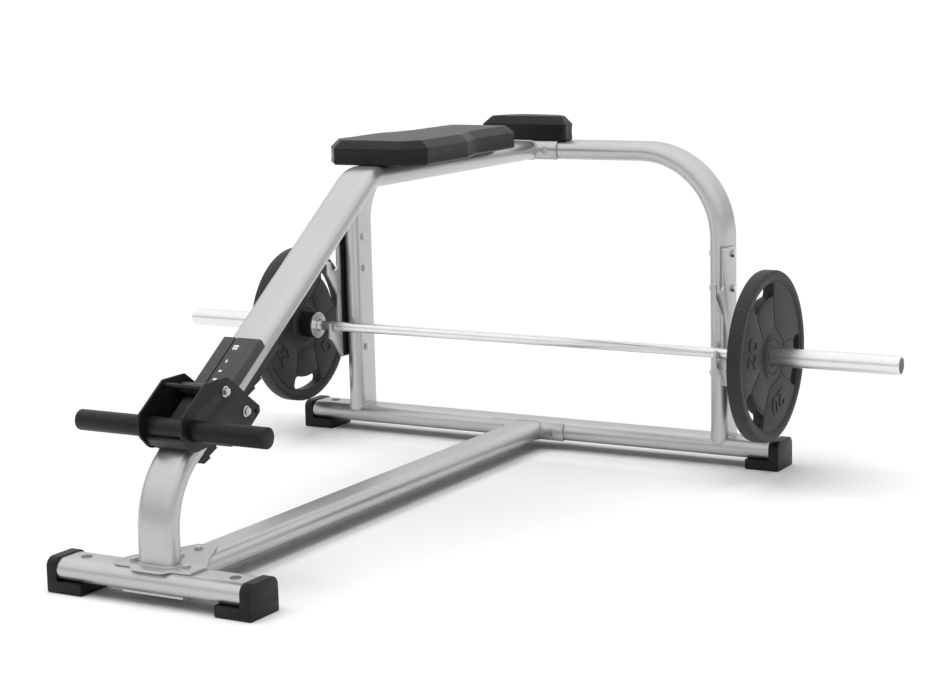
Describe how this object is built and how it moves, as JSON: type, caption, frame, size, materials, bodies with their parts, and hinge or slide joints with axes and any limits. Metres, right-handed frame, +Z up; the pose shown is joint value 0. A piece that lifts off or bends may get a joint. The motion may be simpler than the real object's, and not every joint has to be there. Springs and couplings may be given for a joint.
{
  "type": "seal row bench",
  "caption": "Seal row bench: T-shaped tube base with rubber feet, sloping spine with stepped foot carriage, chest and head pads, arch with bar hooks, and a loaded barbell.",
  "frame": {"origin": "on the floor, in the middle of the whole object's length and width", "axes": "+X to the right seen from the foot end, +Y towards the arch and head pad, +Z up"},
  "size_m": [2.2, 1.895, 0.9293],
  "materials": {
    "silver_paint": "satin metallic silver paint",
    "zinc": "bright zinc plate",
    "chrome": "satin hard chrome",
    "black_paint": "fine textured black powder coat",
    "rubber": "matte moulded rubber",
    "plate_iron": "iron under a matte black rubber skin",
    "vinyl": "black grained vinyl upholstery",
    "plastic": "matte black plastic"
  },
  "bodies": {
    "bench_frame": {"front_bar_tube": "silver_paint", "rear_bar_tube": "silver_paint", "base_rail_tube": "silver_paint", "arch_tube": "silver_paint", "spine_tube": "silver_paint", "base_plate": "silver_paint", "clamp_plate": "silver_paint", "base_saddle": "silver_paint", "top_saddle": "silver_paint", "hook_plate_left": "silver_paint", "hook_plate_right": "silver_paint", "base_bolt_left": "zinc", "base_bolt_right": "zinc", "rail_bolt_front": "zinc", "rail_bolt_rear": "zinc", "base_saddle_bolt_left": "zinc", "base_saddle_bolt_right": "zinc", "top_saddle_bolt_left": "zinc", "top_saddle_bolt_right": "zinc", "hook_bolt_left_top": "zinc", "hook_bolt_left_middle": "zinc", "hook_bolt_left_bottom": "zinc", "hook_bolt_right_top": "zinc", "hook_bolt_right_middle": "zinc", "hook_bolt_right_bottom": "zinc", "lock_rack": "black_paint", "body_pad_board": "black_paint", "head_pad_board": "black_paint", "foot_cap_front_left": "rubber", "foot_cap_front_right": "rubber", "foot_cap_rear_left": "rubber", "foot_cap_rear_right": "rubber", "hook_liner_left": "rubber", "hook_liner_right": "rubber", "body_pad": "vinyl", "head_pad": "vinyl", "index_cover": "plastic"},
    "carriage": {"carriage_plate_left": "black_paint", "carriage_plate_right": "black_paint", "foot_bar": "black_paint", "foot_grip_left": "rubber", "foot_grip_right": "rubber", "cross_rod": "black_paint", "upper_axle": "zinc", "lower_axle_left": "zinc", "lower_axle_right": "zinc", "lower_glide": "plastic"},
    "latch": {"latch_pawl": "black_paint"},
    "upper_roller_body": {"upper_roller": "plastic"},
    "lower_roller_left_body": {"lower_roller_left": "plastic"},
    "lower_roller_right_body": {"lower_roller_right": "plastic"},
    "barbell": {"barbell_shaft": "chrome"},
    "sleeve_left_body": {"sleeve_left": "chrome", "sleeve_bushing_left": "zinc", "collar_ring_left": "rubber"},
    "plate_left_body": {"weight_plate_left": "plate_iron"},
    "sleeve_right_body": {"sleeve_right": "chrome", "sleeve_bushing_right": "zinc", "collar_ring_right": "rubber"},
    "plate_right_body": {"weight_plate_right": "plate_iron"}
  },
  "joints": [
    {"name": "carriage_slide", "type": "slide", "parent": "bench_frame", "child": "carriage", "axis": [0, 0.8192, 0.5736], "range_m": [0, 0.155]},
    {"name": "latch_swing", "type": "hinge", "parent": "carriage", "child": "latch", "pos_m": [0, -0.6024, 0.3669], "axis": [1, 0, 0], "range_deg": [-8, 0]},
    {"name": "upper_roller_spin", "type": "hinge", "parent": "carriage", "child": "upper_roller_body", "pos_m": [0, -0.716, 0.4314], "axis": [1, 0, 0], "continuous": true},
    {"name": "lower_roller_left_spin", "type": "hinge", "parent": "carriage", "child": "lower_roller_left_body", "pos_m": [-0.033, -0.6428, 0.374], "axis": [1, 0, 0], "continuous": true},
    {"name": "lower_roller_right_spin", "type": "hinge", "parent": "carriage", "child": "lower_roller_right_body", "pos_m": [0.033, -0.6428, 0.374], "axis": [1, 0, 0], "continuous": true},
    {"name": "bar_lift", "type": "slide", "parent": "bench_frame", "child": "barbell", "axis": [0, 0, 1], "range_m": [0, 0.09]},
    {"name": "sleeve_left_spin", "type": "hinge", "parent": "barbell", "child": "sleeve_left_body", "pos_m": [-0.88, 0.7225, 0.317], "axis": [1, 0, 0], "continuous": true},
    {"name": "plate_left_pull_off", "type": "slide", "parent": "sleeve_left_body", "child": "plate_left_body", "axis": [-1, 0, 0], "range_m": [0, 0.398]},
    {"name": "sleeve_right_spin", "type": "hinge", "parent": "barbell", "child": "sleeve_right_body", "pos_m": [0.88, 0.7225, 0.317], "axis": [1, 0, 0], "continuous": true},
    {"name": "plate_right_pull_off", "type": "slide", "parent": "sleeve_right_body", "child": "plate_right_body", "axis": [1, 0, 0], "range_m": [0, 0.385]}
  ]
}
